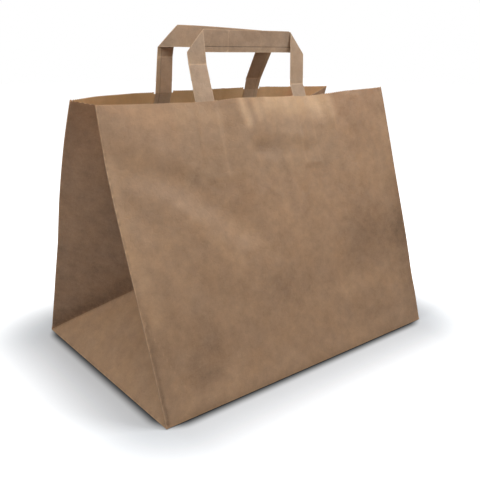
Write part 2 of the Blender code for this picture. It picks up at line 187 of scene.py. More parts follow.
# Sharper wrinkles of a panel, in the same terms
WRINKLE_SHARPNESS = 1.5
WRINKLES = {
    FRONT: (
        ((-26, 252), (-24, 229), 6, 0.9),
        ((-14, 252), (-13, 232), 5, -0.6),
        ((3, 252), (12, 226), 6.5, 1),
        ((26, 250), (30, 228), 6, -0.7),
        ((61, 240), (66, 222), 5, 0.7),
        ((74, 252), (77, 226), 4.5, -0.6),
        ((83, 252), (87, 220), 5.5, 0.9),
        ((20, 196), (22, 178), (31, 158), 6.5, -1.3),
        ((33, 196), (36, 174), 8, 0.8),
        ((-72, 184), (-58, 171), 5, -0.8),
        ((-20, 163), (-10, 168), (3, 158), 4, 0.6),
        ((138, 208), (146, 186), 6, 0.6),
        ((90, 252), (118, 243), 4.5, 0.8),
        ((-58, 100), (-50, 88), (-36, 82), 6, -0.7),
    ),
    BACK: (
        ((-20, 252), (-18, 228), 6, 0.8),
        ((10, 252), (12, 230), 6, 0.8),
        ((72, 252), (70, 232), 6, 0.7),
    ),
}

# Wrinkles along which the paper has whitened
WORN_WRINKLES = {
    FRONT: (
        ((-160, 88), (-151, 60), (-144, 41), (-136, 24), 9, -1.4),
        ((155, 196), (169, 182), 4, 0.6),
    ),
    BACK: (
        ((-140, 90), (-125, 50), 8, -1),
        ((135, 95), (128, 60), 8, -0.9),
    ),
}

# Pale and darker areas of the outside: partly the paper's own mottled tone, partly painted highlights and
# painted shade, in the same terms, with a share of shade for the height
PAINTED_LIGHT_AND_TONES = {
    FRONT: (
        ((-24, 254), (-18, 228), 9, 0.56),
        ((-10, 252), (-4, 232), 8, 0.36),
        ((10, 248), (75, 241), 25, 0.58),
        ((4, 242), (10, 220), 7, 0.14),
        ((30, 250), (34, 230), 5, 0.12),
        ((68, 248), (74, 228), 6, 0.16),
        ((82, 248), (88, 218), 6, 0.14),
        ((-85, 242), (-50, 236), 20, 0.18),
        ((-130, 245), (-110, 236), 16, 0.12),
        ((-12, 205), (22, 202), 11, -0.1),
        ((92, 246), (112, 215), 16, -0.1),
        ((120, 240), (152, 232), 20, -0.12),
        ((105, 108), (155, 100), 40, -0.21),
        ((158, 145), (158, 20), 26, -0.16),
        ((75, 100), (100, 20), 30, -0.06),
        ((-118, 28), (-100, 66), 30, -0.14),
        ((-20, 82), (0, 62), 20, -0.1),
        ((-157, 205), (-157, 130), 11, 0.2),
        ((-146, 166), (-132, 146), (-122, 136), 13, 0.18),
        ((-152, 125), (-148, 80), 12, 0.2),
        ((-50, 142), (-38, 128), 18, 0.13),
        ((-102, 166), (-78, 130), (-55, 104), 11, 0.13),
        ((-140, 130), (-110, 98), 12, 0.1),
        ((22, 196), (30, 176), 8, 0.15),
        ((14, 190), (20, 172), 6, -0.1),
        ((-150, 178), (-128, 152), 12, -0.1),
        ((-100, 200), (-70, 182), 12, -0.08),
        ((5, 150), (20, 110), 14, 0.07),
        ((60, 55), (110, 62), 14, 0.08),
        ((-140, 10), (100, 12), 13, 0.11),
        ((-140, 12), (-100, 14), 14, 0.1),
        ((-90, 22), (-80, 30), 14, 0.1),
        ((-156.5, 85), (-157.5, 2), 2.2, -0.3),
        ((-66.5, 236), (-66.5, 181), 2.2, 0.08),
        ((-47.5, 236), (-47.5, 181), 2.2, 0.08),
        ((43.5, 232), (43.5, 185), 2.2, 0.08),
        ((62.5, 232), (62.5, 185), 2.2, 0.08),
        ((-57, 225), (-57, 190), 10, -0.05),
    ),
    BACK: (
        ((-60, 236), (60, 238), 18, 0.15),
        ((-110, 100), (-50, 120), 30, -0.1),
        ((40, 60), (110, 80), 30, -0.1),
        ((20, 180), (60, 150), 16, 0.1),
    ),
}
# Painted light that brightens the inner faces of the bag
INSIDE_PAINTED_LIGHT = 0.80

# Shares of shade: painted light on a gusset's lower triangle, painted shade on the rest and on the band above
# the slanting creases
LOW_GUSSET_PAINTED_LIGHT = 0.22
HIGH_GUSSET_PAINTED_SHADE = -0.20
CREASE_SHADE = -0.28
CREASE_SHADE_REACH = 0.030
TONE_RAMP = 0.009

# Painted shade darkens the front handle's bar, twice as much at its right fold, and painted light makes the
# glued ends paler.
BAR_PAINTED_SHADE = {FRONT: -0.14, BACK: 0.0}
GLUED_PAINTED_LIGHT = 0.30
BAR_SHADE_START = 0.036
BAR_SHADE_RUN = 0.010

# What the glued tape and patch press up through the panel
IMPRINT_RAMP = 0.0030
TAPE_IMPRINT = 0.0006
PATCH_IMPRINT = 0.0003

# Cockling of the paper: pitch and height of each scale of swell
COCKLES = ((0.048, 0.00105), (0.021, 0.00036), (0.010, 0.00011))
COCKLE_SEED = 20
GUSSET_SEED = 4
GUSSET_COCKLING = 2

# The folds hold a panel straighter: this far up from its foot, and this far in from its standing edges,
# where this share of the relief is left
FOOT_HOLD = 0.015
EDGE_HOLD = 0.030
EDGE_RELIEF = 0.25

# Colours of the unbleached paper and of the paler tape, and how far they go to grey in places
BAG_COLOUR = (0.400, 0.232, 0.124)
TAPE_COLOUR = (0.425, 0.283, 0.178)
GREYING = 0.18

# How much light the thin paper lets through, how far it spreads and the spread of each colour
THIN_PAPER = 0.45
GLOW_REACH = 0.002
GLOW_SPREAD = (1.0, 0.80, 0.62)

# Noise in the paper: stretch, scale, detail and roughness
NOISES = {
    "broad": ((1, 1, 1), 26, 2, 0.55),
    "cloud": ((1, 1, 1), 95, 5, 0.68),
    "fibre": ((1, 0.30, 1), 900, 3, 0.70),
    "cross_fibre": ((0.25, 1, 1), 1100, 2, 0.60),
    "speckle": ((1, 0.60, 1), 1500, 1, 0.55),
    "grey": ((1, 1, 1), 40, 3, 0.55),
    "crumple": ((1, 1, 1), 75, 2, 0.55),
    "wear": ((1, 1, 1), 220, 2, 0.55),
}

# Shares of broad and cloud, and of fibre and cross fibre. The speckle is a dark fleck above the first
# value and a pale one below the second. A crumple's valley is as wide as this much of its noise.
PULP_SHARES = (0.3, 0.7)
THREAD_SHARES = (0.6, 0.4)
DARK_FLECK = 0.70
PALE_FLECK = 0.29
VALLEY = 0.05

# How worn a fold is where its noise is 0, and how much more where it is 1
FOLD_WEAR = (0.4, 1.2)

# Roughness and shine of the paper, and the strength and depth of its bump
PAPER_ROUGHNESS = 0.55
PAPER_SHINE = 0.35
BUMP_STRENGTH = 0.30
BUMP_DEPTH = 0.00012

# How much paler a worn fold is, and how much painted shadow darkens the edge of the tape's lap
BAG_FOLD_LIGHT = 0.28
TAPE_FOLD_LIGHT = 0.38
LAP_PAINTED_SHADOW = 0.38

# Edges sharper than this many degrees stay sharp
SMOOTH_ANGLE = 28

# Studio: the softboxes' places, sizes and watts, and the light of the room
LIGHT_AIM = (0, 0, 0.15)
SOFTBOXES = (
    ("high_left", (-0.80, 0.10, 0.80), 0.5, 2.6),
    ("near_left", (-0.25, -0.30, 0.60), 0.3, 1.2),
    ("near_right", (0.30, -0.30, 0.60), 0.3, 1.9),
    ("behind", (0.0, 1.20, 1.20), 1.0, 4.5),
)
ROOM_LIGHT = 0.16

# Floor, just under the bag. Away from a rectangle inset in the bag's foot it glows more to the camera,
# until it is white, and close to the foot painted shadow darkens its colour
FLOOR_SIZE = 12.0
FLOOR_GAP = 0.0002
FLOOR_COLOUR = (0.82, 0.85, 0.88)
FOOT_INSET = 0.020
LIFT_REACH = (0.020, 0.140)
FLOOR_LIFT = (0.0, 1.0)
CONTACT_REACH = (0.019, 0.030)
CONTACT_SHADE = (0.08, 1.0)

# Camera: place, its turn, pitch down and roll in degrees, and its focal length in the frame's pixels
CAMERA_PLACE = (-0.3614, -0.4429, 0.2677)
CAMERA_TURN = (39.164, 16.977, 0.425)
FOCAL_PIXELS = 592.0
FRAME_PIXELS = 480
SENSOR = 36.0

half_width = WIDTH / 2 - WALL
half_depth = DEPTH / 2 - WALL
floor_level = FLAP_PLIES * WALL
mouth_level = HEIGHT - GLUE_DROP
fold_radius = TAPE + FOLD_GAP / 2
half_tape = TAPE_WIDTH / 2
half_span = HANDLE_SPAN / 2


def blend(start, end, share):
    return start + (end - start) * share


def choose(test, one, other):
    """One point or the other, by a test for each."""
    return np.where(test[..., None], one, other)


def fade(value):
    """Smooth step from 0 to 1."""
    value = np.clip(value, 0, 1)
    return value * value * (3 - 2 * value)


def cubic(start, start_slope, finish, finish_slope, t):
    """Smooth curve from start to finish with given slopes there, t from 0 to 1."""
    return ((2 * t**3 - 3 * t**2 + 1) * start + (t**3 - 2 * t**2 + t) * start_slope
            + (3 * t**2 - 2 * t**3) * finish + (t**3 - t**2) * finish_slope)


def smooth_profile(points, share):
    """Height of a smooth curve through (place, height) points."""
    xs = np.array([x for x, _ in points])
    ys = np.array([y for _, y in points])
    xs = np.concatenate([[2 * xs[0] - xs[1]], xs, [2 * xs[-1] - xs[-2]]])
    ys = np.concatenate([[2 * ys[0] - ys[1]], ys, [2 * ys[-1] - ys[-2]]])
    slopes = (ys[2:] - ys[:-2]) / (xs[2:] - xs[:-2])
    i = np.clip(np.searchsorted(xs[1:-1], share) - 1, 0, len(points) - 2)
    span = xs[i + 2] - xs[i + 1]
    t = (share - xs[i + 1]) / span
    return cubic(ys[i + 1], span * slopes[i], ys[i + 2], span * slopes[i + 1], t)


def mouth_distance(side, x):
    points = FRONT_MOUTH if side == FRONT else BACK_MOUTH
    return smooth_profile(points, x / half_width)


def line_distance(points, x, v):
    """Distance in metres from a line of points in millimetres."""
    nearest = np.full(np.shape(x), np.inf)
    line = np.array(points) / PER_METRE
    for (x1, v1), (x2, v2) in zip(line, line[1:]):
        along = (x - x1) * (x2 - x1) + (v - v1) * (v2 - v1)
        t = np.clip(along / math.dist((x1, v1), (x2, v2)) ** 2, 0, 1)
        nearest = np.minimum(nearest, np.hypot(x - blend(x1, x2, t), v - blend(v1, v2, t)))
    return nearest


def band(value, half, ramp):
    """1 within a half width of 0, down to 0 over a ramp."""
    return 1 - fade((np.abs(value) - half) / ramp)


def cockle(seed, x, v):
    """Uneven swell of a sheet, from a lattice of random heights at each scale."""
    draw = np.random.default_rng(COCKLE_SEED + seed)
    height = np.zeros(np.shape(x))
    for pitch, swell in COCKLES:
        lattice = draw.uniform(-1, 1, (int(2 * WIDTH / pitch), int(2 * HEIGHT / pitch)))
        across = (x + WIDTH) / pitch
        up = (v + HEIGHT / 4) / pitch
        i = across.astype(int)
        j = up.astype(int)
        to_right = fade(across - i)
        lower = blend(lattice[i, j], lattice[i + 1, j], to_right)
        upper = blend(lattice[i, j + 1], lattice[i + 1, j + 1], to_right)
        height = height + swell * blend(lower, upper, fade(up - j))
    return height


def imprint(side, x, v):
    """What the tape ends and the patch over them press up through a panel."""
    over_patch = band(x - HANDLE_CENTRE[side], PATCH_WIDTH / 2, IMPRINT_RAMP)
    over_tape = sum(band(x - leg_x(side, end), half_tape, IMPRINT_RAMP) for end in ENDS)
    height = PATCH_IMPRINT * over_patch + TAPE_IMPRINT * over_tape
    return height * fade((v - PATCH_LOW) / IMPRINT_RAMP)


def strokes(table, x, v, profile=fade):
    """Sum of a table's strokes, each full along its line and gone at its half width."""
    total = np.zeros(np.shape(x))
    for *points, reach, strength in table:
        nearness = 1 - line_distance(points, x, v) / (reach / PER_METRE)
        total = total + strength * profile(np.maximum(0, nearness))
    return total


def sharp(value):
    return value ** WRINKLE_SHARPNESS


def relief(side, x, v):
    """How far swells, wrinkles, cockling and what is glued inside lift a panel."""
    drawn = strokes(SWELLS[side], x, v) + strokes(WRINKLES[side] + WORN_WRINKLES[side], x, v, sharp)
    height = cockle(side, x, v) + imprint(side, x, v) + drawn / PER_METRE
    from_edge = fade((half_width - np.abs(x)) / EDGE_HOLD)
    return height * fade(v / FOOT_HOLD) * blend(EDGE_RELIEF, 1, from_edge)


def panel_bow(side, x, v):
    """How far a wide panel stands out from its straight lean."""
    left, right = FRONT_BOW if side == FRONT else BACK_BOW
    towards_left = (1 - x / half_width) / 2
    most = left * towards_left**2 + right * (1 - towards_left)**2
    swell = most * np.sin(math.pi * (v / HEIGHT)**BOW_RISE)
    if side == BACK:
        swell = swell - CREASE_DENT * np.maximum(0, 1 - np.abs(v - half_depth) / CREASE_REACH)
    return swell


def curved_panel(side, x, v):
    """Inner face of the front or back panel, x along it and v up the paper."""
    run = half_depth - mouth_distance(side, x)
    rise = np.sqrt(HEIGHT**2 - run**2)
    share = v / HEIGHT
    still = np.zeros(np.shape(x))
    outward = np.stack([still, side * rise, run], -1) / HEIGHT
    pull = END_PULL * fade((v - PULL_START) / PULL_RUN) * np.maximum(0, x / half_width) ** 2
    lift_left, lift_right = CORNER_LIFT[side]
    lift = np.where(x < 0, lift_left, lift_right) * (x / half_width) ** 4
    height = floor_level + (rise - SETTLE + lift) * share
    foot = np.stack([x - pull, side * (half_depth - run * share), height], -1)
    return foot + outward * (panel_bow(side, x, v) + relief(side, x, v))[..., None]


def even_lines(start, end, count):
    return [blend(start, end, i / count) for i in range(count + 1)]


def wall_rows():
    """Heights of a wall's row lines: one of them is where the gusset creases meet."""
    below = even_lines(0, half_depth, round(half_depth / UP_PITCH))
    above = even_lines(half_depth, HEIGHT, round((HEIGHT - half_depth) / UP_PITCH))
    return np.array(below + above[1:])


def wall_columns(half_across, pitch):
    """Places of a wall's column lines: one of them is its middle."""
    return np.array(even_lines(-half_across, half_across, 2 * round(half_across / pitch)))


def leg_x(side, end):
    return HANDLE_CENTRE[side] + end * half_span


rows = wall_rows()
panel_columns = wall_columns(half_width, ACROSS_PITCH)
gusset_columns = wall_columns(half_depth, SIDE_PITCH)
panel_grid = {}
for each_side in SIDES:
    grid_x, grid_v = np.meshgrid(panel_columns, rows, indexing="ij")
    panel_grid[each_side] = curved_panel(each_side, grid_x, grid_v)


def panel_point(side, x, v):
    """Inner face of the front or back panel, flat between its column and row lines."""
    grid = panel_grid[side]
    i = np.clip(np.searchsorted(panel_columns, x) - 1, 0, len(panel_columns) - 2)
    j = np.clip(np.searchsorted(rows, v) - 1, 0, len(rows) - 2)
    across = ((x - panel_columns[i]) / (panel_columns[i + 1] - panel_columns[i]))[..., None]
    up = ((v - rows[j]) / (rows[j + 1] - rows[j]))[..., None]
    bottom = blend(grid[i, j], grid[i + 1, j], across)
    top = blend(grid[i, j + 1], grid[i + 1, j + 1], across)
    return blend(bottom, top, up)


def unit(vectors):
    return vectors / np.linalg.norm(vectors, axis=-1, keepdims=True)


def inside_point(side, x, v, offset):
    """A point offset into the bag from the inner face of a wide panel."""
    along = panel_point(side, x + PROBE, v) - panel_point(side, x - PROBE, v)
    up = panel_point(side, x, v + PROBE) - panel_point(side, x, v - PROBE)
    normal = unit(np.cross(along, up))
    normal = normal * -np.sign(normal[..., 1:2] * side)
    return panel_point(side, x, v) + normal * np.broadcast_to(offset, np.shape(x))[..., None]


def gusset_frame(end):
    """Slope of the gusset's lower triangle, and the bottom and top of its centre crease."""
    x = end * half_width
    mouth = float(mouth_distance(FRONT, x) + mouth_distance(BACK, x)) / 2
    lean_sine = (half_depth - mouth) / HEIGHT
    lean_cosine = math.sqrt(1 - lean_sine**2)
    slope_sine = (1 - lean_sine) / lean_cosine
    slope = np.array([-end * math.sqrt(1 - slope_sine**2), 0, slope_sine])
    apex = np.array([x, 0, floor_level]) + slope * half_depth
    corner = np.array([x, 0, floor_level + lean_cosine * HEIGHT])
    reach = math.sqrt(half_depth**2 - mouth**2)
    crease = HEIGHT - half_depth
    to_apex = apex - corner
    distance = np.linalg.norm(to_apex)
    along = (reach**2 - crease**2 + distance**2) / (2 * distance)
    across = math.sqrt(reach**2 - along**2)
    direction = to_apex / distance
    inward = np.array([-end * abs(direction[2]), 0, abs(direction[0])])
    top = corner + direction * along + inward * across
    return slope, apex, top


def gusset_point(end, y, v):
    """Inner face of a gusset, y across the paper from its middle and v up it."""
    slope, apex, top = gusset_frame(end)
    still = np.zeros(np.shape(y))
    foot = np.stack([still + end * half_width, y, still + floor_level], -1)
    lower = foot + slope * v[..., None]
    upper = np.zeros(lower.shape)
    from_edge = half_depth - np.abs(y)
    for side in SIDES:
        here = (y <= 0) if side == FRONT else (y > 0)
        edge_x = still + end * half_width
        edge = panel_point(side, edge_x, v)
        eased = inside_point(side, edge_x, v, FOLD_EASE)
        span = np.maximum(np.minimum(v, half_depth) - FOLD_EASE, TOUCH)
        share = (from_edge - FOLD_EASE) / span
        climb = np.clip((v - half_depth) / (HEIGHT - half_depth), 0, 1)
        below = np.stack([edge_x, side * (half_depth - v), still + floor_level], -1) + slope * v[..., None]
        crease = choose(v <= half_depth, below, blend(apex, top, climb[..., None]))
        outward = unit(np.cross(crease - eased, top - apex) + AVOID_ZERO)
        outward = outward * -np.sign(outward[..., 1:2] * side)
        swell = GUSSET_BULGE * np.sin(math.pi * climb) + GUSSET_COCKLING * cockle(GUSSET_SEED + end, y, v)
        bulge = swell * np.sin(math.pi * np.clip(share, 0, 1)) * (v > half_depth)
        wall = blend(eased, crease, share[..., None]) + outward * bulge[..., None]
        hem = blend(edge, eased, (from_edge / FOLD_EASE)[..., None])
        point = choose(from_edge < FOLD_EASE, hem, wall)
        upper = choose(here, point, upper)
    return choose(v - from_edge < TOUCH, lower, upper)


# Sheets

def read_points(piece):
    points = np.empty(len(piece.data.vertices) * 3)
    piece.data.vertices.foreach_get("co", points)
    return points.reshape(-1, 3)


def write_points(piece, points):
    piece.data.vertices.foreach_set("co", np.ascontiguousarray(points, dtype=np.float32).ravel())
    piece.data.update()


def only(*pieces):
    """Select these pieces and nothing else, and make the first one active."""
    bpy.ops.object.select_all(action="DESELECT")
    for piece in pieces:
        piece.select_set(True)
    bpy.context.view_layer.objects.active = pieces[0]


@contextmanager
def editing(piece):
    """Edit mode on one piece, and then object mode again."""
    only(piece)
    bpy.ops.object.mode_set(mode="EDIT")
    yield
    bpy.ops.object.mode_set(mode="OBJECT")


def flat_sheet(name, columns, lines):
    """A flat sheet in the XY plane with an edge along each column and line."""
    bpy.ops.mesh.primitive_grid_add(x_subdivisions=len(columns) - 1, y_subdivisions=len(lines) - 1, size=1)
    sheet = bpy.context.object
    sheet.name = name
    sheet.data.name = name
    flat = read_points(sheet)
    column = np.rint((flat[:, 0] + 0.5) * (len(columns) - 1)).astype(int)
    line = np.rint((flat[:, 1] + 0.5) * (len(lines) - 1)).astype(int)
    write_points(sheet, np.stack([np.array(columns)[column], np.array(lines)[line], flat[:, 2]], -1))
    return sheet


def select_faces(sheet, wanted):
    """In edit mode, select the faces whose middle passes a test."""
    mesh = bmesh.from_edit_mesh(sheet.data)
    bpy.ops.mesh.select_mode(type="FACE")
    for face in mesh.faces:
        middle = face.calc_center_median()
        face.select_set(wanted(middle))
    mesh.select_flush_mode()
    bmesh.update_edit_mesh(sheet.data)


def column_at(x):
    """Point and normal of a cut up a flat sheet."""
    return (x, 0, 0), (1, 0, 0)


def row_at(v):
    """Point and normal of a cut across a flat sheet."""
    return (0, v, 0), (0, 1, 0)


def cut(sheet, lines, wanted=lambda middle: True):
    """Cut a sheet along straight lines, each given by a point and a normal."""
    with editing(sheet):
        for point, normal in lines:
            select_faces(sheet, wanted)
            bpy.ops.mesh.bisect(plane_co=point, plane_no=normal, threshold=TOUCH / 10)


def remove_faces(sheet, wanted):
    with editing(sheet):
        select_faces(sheet, wanted)
        bpy.ops.mesh.delete(type="FACE")


def keep_flat_place(sheet, shift=0.0):
    """Store the flat place of each point as the sheet's UV map, in metres, and return its two numbers."""
    flat = read_points(sheet)
    layer = sheet.data.uv_layers.get("paper") or sheet.data.uv_layers.new(name="paper")
    corner = np.empty(len(sheet.data.loops), dtype=int)
    sheet.data.loops.foreach_get("vertex_index", corner)
    layer.data.foreach_set("uv", (flat[corner, :2] + [shift, 0]).astype(np.float32).ravel())
    return flat[:, 0], flat[:, 1]


def read_values(piece, name):
    values = np.empty(len(piece.data.vertices), dtype=np.float32)
    piece.data.attributes[name].data.foreach_get("value", values)
    return values


def set_values(sheet, name, values):
    """Store one number at each point of a sheet."""
    layer = sheet.data.attributes.get(name) or sheet.data.attributes.new(name, "FLOAT", "POINT")
    layer.data.foreach_set("value", np.ascontiguousarray(values, dtype=np.float32))


def set_inner_face(piece, name, outer_points, value):
    """Store one number on the inner face of closed paper, whose points come after the outer face's."""
    values = read_values(piece, name)
    values[outer_points:] = value
    set_values(piece, name, values)


def panel_sheet(side):
    """Front or back wall, with the notches round the handle legs, folded into place."""
    sheet = flat_sheet("panel", panel_columns, rows)
    depth, margin = NOTCH[side]
    reach = half_tape + margin
    bottom = HEIGHT - depth
    top = HEIGHT - UP_PITCH
    for end in ENDS:
        centre = leg_x(side, end)
        cut(sheet, [column_at(centre - reach), column_at(centre + reach)], lambda middle: middle.y > top)
        cut(sheet, [row_at(bottom)], lambda middle: middle.y > top and abs(middle.x - centre) < reach)
        remove_faces(sheet, lambda middle: middle.y > bottom and abs(middle.x - centre) < reach)
    saw_edge(sheet)
    x, v = keep_flat_place(sheet)
    # Paled like a worn fold, the cut mouth carries a painted highlight along its saw-cut edge
    near = [half_width - np.abs(x), v, HEIGHT - v]
    near += [line_distance(points, x, v) for *points, _, _ in WORN_WRINKLES[side]]
    set_values(sheet, "fold", np.minimum.reduce(near))
    # Painted highlights and painted shade, with the paper's own mottled tone
    set_values(sheet, "painted_light_and_tone", strokes(PAINTED_LIGHT_AND_TONES[side], x, v))
    write_points(sheet, panel_point(side, x, v))
    return sheet


def saw_edge(sheet):
    """Put a point in the middle of each edge along the mouth, for the teeth of the saw cut."""
    with editing(sheet):
        bpy.ops.mesh.select_mode(type="EDGE")
        mesh = bmesh.from_edit_mesh(sheet.data)
        for edge in mesh.edges:
            edge.select_set(all(vert.co.y > HEIGHT - TOUCH for vert in edge.verts))
        bmesh.update_edit_mesh(sheet.data)
        bpy.ops.mesh.subdivide(number_cuts=1)
        mesh = bmesh.from_edit_mesh(sheet.data)
        for vert in mesh.verts:
            if vert.co.y > HEIGHT - TOUCH and len(vert.link_edges) > 2:
                vert.co.y = HEIGHT - TOOTH_DEPTH
        bmesh.update_edit_mesh(sheet.data)


def gusset_sheet(end):
    """Side wall with its two slanting creases and its centre crease."""
    sheet = flat_sheet("gusset", gusset_columns, rows)
    for side in SIDES:
        cut(sheet, [column_at(side * (half_depth - FOLD_EASE))])
        cut(sheet, [((side * half_depth, 0, 0), (1, side, 0))], lambda middle: middle.y < half_depth)
    saw_edge(sheet)
    y, v = keep_flat_place(sheet, end * (half_width + half_depth))
    from_edge = half_depth - np.abs(y)
    slanting = np.abs(v - from_edge) / math.sqrt(2)
    centre = np.where(v > half_depth, np.abs(y), half_depth)
    # Paled like a worn fold, the cut mouth carries a painted highlight along its saw-cut edge
    set_values(sheet, "fold", np.minimum.reduce([from_edge, v, slanting, centre, HEIGHT - v]))
    # Painted light on the lower triangle, painted shade above it, and a band of painted shade just above the
    # slanting creases
    above = fade((v - from_edge) / TONE_RAMP + 0.5)
    beside_crease = np.maximum(0, 1 - np.abs(v - from_edge) / CREASE_SHADE_REACH) * above
    painted_light_and_tone = blend(LOW_GUSSET_PAINTED_LIGHT, HIGH_GUSSET_PAINTED_SHADE, above) + CREASE_SHADE * beside_crease
    set_values(sheet, "painted_light_and_tone", painted_light_and_tone)
    write_points(sheet, gusset_point(end, y, v))
    return sheet


def bottom_sheet():
    """Block bottom: a wide rectangle with the outlines of the flaps folded under it."""
    sheet = flat_sheet("bottom", panel_columns, gusset_columns)
    cut(sheet, [row_at(side * (half_depth - FOLD_EASE)) for side in SIDES])
    x, y = keep_flat_place(sheet, 1.0)
    set_values(sheet, "fold", np.minimum(half_width - np.abs(x), half_depth - np.abs(y)))
    write_points(sheet, read_points(sheet) + [0, 0, floor_level])
    return sheet


def in_bottom(middle):
    return abs(middle.z - floor_level) < TOUCH


def fold_bottom_flaps(body):
    """Cut the outlines of the flaps under the bottom and give each area its plies."""
    lines = [column_at(end * (half_width - FOLD_EASE)) for end in ENDS]
    lines += [row_at(FLAP_OVERLAP + step) for step in (-STEP_WIDTH, 0, STEP_WIDTH)]
    for step in (0, STEP_WIDTH):
        for end in ENDS:
            for side in SIDES:
                lines.append(((end * (half_width + step), side * half_depth, 0), (end, -side, 0)))
    cut(body, lines, in_bottom)
    points = read_points(body)
    on_bottom = np.abs(points[:, 2] - floor_level) < TOUCH
    from_end = half_width - np.abs(points[:, 0]) + STEP_WIDTH / 2
    from_side = half_depth - np.abs(points[:, 1])
    flap = on_bottom & (from_end > from_side) & (np.minimum(from_end, from_side) > FOLD_EASE / 2)
    groove = flap & (np.abs(points[:, 1] - FLAP_OVERLAP) < STEP_WIDTH / 2)
    from_seam = points[:, 0] - SEAM_EDGE - STEP_WIDTH / 2
    lapped = (from_seam > 0) & (from_seam < SEAM_LAP) & (points[:, 1] > 0) & ~on_bottom
    plies = np.select([groove, flap, lapped], [GROOVE_PLIES, FLAP_PLIES, 2], 1)
    set_values(body, "plies", plies)


def lap_seam(body):
    """Cut the band up the back panel where the tube's edges are glued over each other."""
    with editing(body):
        for place in (SEAM_EDGE, SEAM_EDGE + SEAM_LAP):
            for step in (0, STEP_WIDTH):
                mesh = bmesh.from_edit_mesh(body.data)
                for face in mesh.faces:
                    face.select_set(face.normal.y > FACING_BACK)
                bmesh.update_edit_mesh(body.data)
                bpy.ops.mesh.bisect(plane_co=(place + step, 0, 0), plane_no=(1, 0, 0), threshold=TOUCH / 10)


def thicken(piece, most_plies, thickness):
    """Turn a sheet into closed paper: its points move out, and copies of them stay as the inner face."""
    values = read_values(piece, "plies")
    group = piece.vertex_groups.new(name="plies")
    for level in np.unique(values):
        group.add([int(i) for i in np.flatnonzero(values == level)], float(level) / most_plies, "REPLACE")
    only(piece)
    solid = piece.modifiers.new("paper", "SOLIDIFY")
    solid.thickness = thickness
    solid.offset = 1
    solid.use_even_offset = True
    solid.vertex_group = "plies"
    bpy.ops.object.modifier_apply(modifier="paper")
    bpy.ops.object.shade_smooth_by_angle(angle=math.radians(SMOOTH_ANGLE))


def flip(piece):
    with editing(piece):
        bpy.ops.mesh.select_all(action="SELECT")
        bpy.ops.mesh.flip_normals()


def make_body():
    sheets = [panel_sheet(side) for side in SIDES]
    sheets += [gusset_sheet(end) for end in ENDS]
    sheets.append(bottom_sheet())
    only(*sheets)
    bpy.ops.object.join()
    body = bpy.context.object
    body.name = "kraft_bag"
    body.data.name = "kraft_bag"
    with editing(body):
        bpy.ops.mesh.select_all(action="SELECT")
        bpy.ops.mesh.remove_doubles(threshold=TOUCH)
        bpy.ops.mesh.normals_make_consistent(inside=False)
    lowest = min(body.data.polygons, key=lambda face: face.center.z)
    if lowest.normal.z > 0:
        flip(body)
    lap_seam(body)
    fold_bottom_flaps(body)
    outer_points = len(body.data.vertices)
    thicken(body, FLAP_PLIES, FLAP_PLIES * WALL)
    # Painted light on the inner faces of the paper
    set_inner_face(body, "painted_light_and_tone", outer_points, INSIDE_PAINTED_LIGHT)
    return body


# Handles

def lean_vector(side, lean, sway):
    """Unit direction up a handle leg, leaning towards the middle of the bag."""
    return unit(np.array([math.tan(math.radians(sway)), -side * math.tan(math.radians(lean)), 1.0]))


def station(side, centre, turn, up, across, inward):
    """A point beside a handle leg's centre line, across the tape and into the bag."""
    along = np.array([math.cos(math.radians(turn)), math.sin(math.radians(turn)), 0])
    normal = unit(np.cross(along, up))
    if normal[1] * side > 0:
        normal = -normal
    return centre + along * across[:, None] + normal * inward[:, None]


def leg_point(side, end, across, drop, inward):
    """A point on a handle leg, drop below the top of the bar."""
    leg = LEGS[side, end]
    x = leg_x(side, end)
    below_mouth = drop - leg.upper - leg.lower
    glued_v = np.where(below_mouth >= 0, mouth_level - below_mouth, mouth_level)
    glued = inside_point(side, x + across, glued_v, GLUE_GAP + inward)
    lower_up = lean_vector(side, leg.lower_lean, leg.lower_sway)
    upper_up = lean_vector(side, leg.upper_lean, leg.upper_sway)
    mouth_centre = inside_point(side, np.array([x]), np.array([mouth_level]), GLUE_GAP)[0]
    crease_centre = mouth_centre + lower_up * leg.lower
    top_centre = crease_centre + upper_up * leg.upper
    crease = station(side, crease_centre, leg.crease_turn, (lower_up + upper_up) / 2, across, inward)
    top = station(side, top_centre, leg.top_turn, upper_up, across, inward)
    below_crease = blend(crease, glued, np.clip((drop - leg.upper) / leg.lower, 0, 1)[:, None])
    above_crease = blend(top, crease, (drop / leg.upper)[:, None])
    free = choose(drop > leg.upper, below_crease, above_crease)
    return choose(below_mouth >= 0, glued, free)


def opened_corner(side, end):
    """Start of the bar at a leg: its place, the way to the other leg and the way up its width.

    The tape is folded over at 45 degrees at the top of the leg, and the fold has sprung open.
    """
    across = np.array([-half_tape, half_tape, 0, 0, 0, 0])
    drop = np.array([half_tape, half_tape, 0, TAPE_WIDTH, half_tape, half_tape])
    inward = np.array([0, 0, 0, 0, 0, GLUE_GAP])
    left, right, top, low, centre, inside = leg_point(side, end, across, drop, inward)
    towards = unit(left - right) * end
    up = unit(top - low)
    normal = unit(inside - centre)
    angle = math.radians(FOLD_OPENING[side, end])
    hinge = unit(towards + up)
    away = unit(towards - up)
    opened = away * math.cos(angle) + normal * math.sin(angle)
    base = centre + (away - opened) * math.pi * fold_radius / 2 + normal * 2 * fold_radius
    return base, unit(hinge + opened), unit(hinge - opened)


